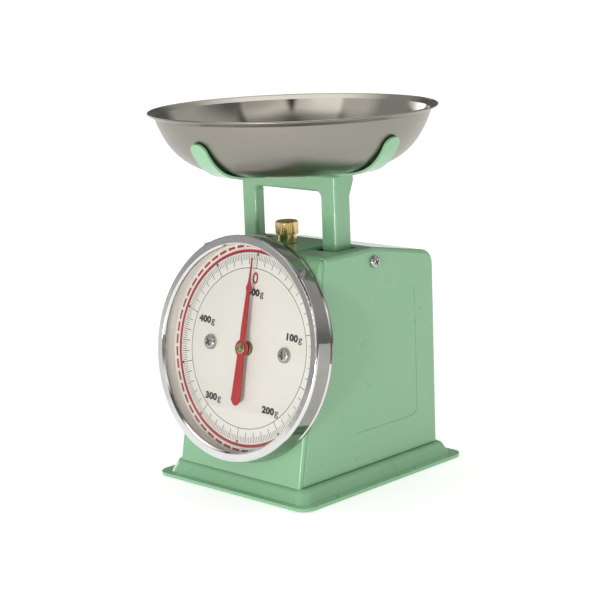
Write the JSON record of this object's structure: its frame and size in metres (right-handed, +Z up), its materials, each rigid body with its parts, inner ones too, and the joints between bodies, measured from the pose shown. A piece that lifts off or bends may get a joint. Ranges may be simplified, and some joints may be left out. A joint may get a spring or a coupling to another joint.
{
  "type": "dial platform scale",
  "caption": "Small spring dial scale: steel bowl pan on an armed support and sliding inverted-U frame, tilted round dial in a deep chrome bezel, painted body on a flared base tray.",
  "frame": {"origin": "on the table plane, under the centre of the pan", "axes": "+Z up; the dial faces -Y; +X is to the right of someone reading the dial"},
  "size_m": [0.14, 0.14, 0.1808],
  "materials": {
    "green_paint": "gloss",
    "soft_rubber": "matt",
    "screw_steel": "nickel plated",
    "plain_steel": "zinc plated",
    "dial_print": "printed semi-gloss",
    "bezel_chrome": "polished",
    "lens_glass": "clear",
    "pointer_red": "semi-gloss",
    "nut_brass": "satin",
    "brass": "satin",
    "spring_steel": "satin",
    "knob_brass": "satin",
    "pan_steel": "polished inside, satin outside"
  },
  "bodies": {
    "housing": {"base_tray": "green_paint", "rubber_feet": "soft_rubber", "base_screws": "screw_steel", "body_cover": "green_paint", "front_panel": "green_paint", "cover_screw_right": "screw_steel", "cover_screw_left": "screw_steel", "top_strip": "green_paint", "inner_frame": "plain_steel", "travel_stops": "soft_rubber", "dial_housing": "green_paint", "dial_plate": "dial_print", "dial_screws": "screw_steel", "dial_nuts": "plain_steel", "bezel": "bezel_chrome", "lens": "lens_glass", "lens_gasket": "soft_rubber", "front_bush": "brass", "rear_bush": "brass", "movement_plate": "plain_steel", "movement_pillars": "brass", "movement_screws": "screw_steel", "lower_rear_rod": "plain_steel", "upper_rear_rod": "plain_steel", "rod_clips": "spring_steel"},
    "platform": {"support_frame": "green_paint", "cross_bar": "plain_steel", "cross_bar_rivets": "plain_steel", "pan_support": "green_paint", "support_rivets": "plain_steel", "rack": "plain_steel", "rack_screw": "screw_steel", "lower_front_rod": "plain_steel", "upper_front_rod": "plain_steel", "lower_plugs": "plain_steel", "spring_left": "spring_steel", "spring_right": "spring_steel"},
    "pointer_train": {"pointer": "pointer_red", "pointer_nut": "nut_brass", "pinion_shaft": "plain_steel", "pinion": "brass"},
    "zero_adjuster": {"zero_knob": "knob_brass", "zero_screw": "brass", "screw_clip": "spring_steel"},
    "hanger": {"hanger_bar": "plain_steel", "upper_plugs": "plain_steel"},
    "lower_guide": {"lower_lever": "plain_steel"},
    "upper_guide": {"upper_lever": "plain_steel"},
    "bowl": {"pan": "pan_steel"}
  },
  "joints": [
    {"name": "platform_slide", "type": "slide", "parent": "housing", "child": "platform", "axis": [0, 0, -1], "range_m": [0, 0.0128], "stiffness_N_per_m": 383.5, "springref_m": -0.00557, "deforming": ["spring_left", "spring_right"]},
    {"name": "pointer_spin", "type": "hinge", "parent": "housing", "child": "pointer_train", "pos_m": [0, -0.03565, 0.06832], "axis": [0, -0.9825, 0.1865], "range_deg": [-362, 2]},
    {"name": "pan_lift", "type": "slide", "parent": "platform", "child": "bowl", "axis": [0, 0, 1], "range_m": [0, 0.04]},
    {"name": "zero_turn", "type": "hinge", "parent": "housing", "child": "zero_adjuster", "pos_m": [0, -0.007, 0.1154], "axis": [0, 0, 1], "range_deg": [-362, 362]},
    {"name": "hanger_slide", "type": "slide", "parent": "housing", "child": "hanger", "axis": [0, 0, 1], "range_m": [-0.0007, 0.0007]},
    {"name": "lower_lever_hinge", "type": "hinge", "parent": "housing", "child": "lower_guide", "pos_m": [0, 0.042, 0.0382], "axis": [1, 0, 0], "range_deg": [-1, 19]},
    {"name": "upper_lever_hinge", "type": "hinge", "parent": "housing", "child": "upper_guide", "pos_m": [0, 0.042, 0.0816], "axis": [1, 0, 0], "range_deg": [-1, 19]}
  ],
  "couplings": [
    {"joint": "pointer_spin", "follows": "platform_slide", "rad_per_m": -491.23},
    {"joint": "lower_lever_hinge", "follows": "platform_slide", "rad_per_m": 24.489},
    {"joint": "upper_lever_hinge", "follows": "platform_slide", "rad_per_m": 24.489},
    {"joint": "zero_turn", "follows": "hanger_slide", "rad_per_m": -8976}
  ]
}
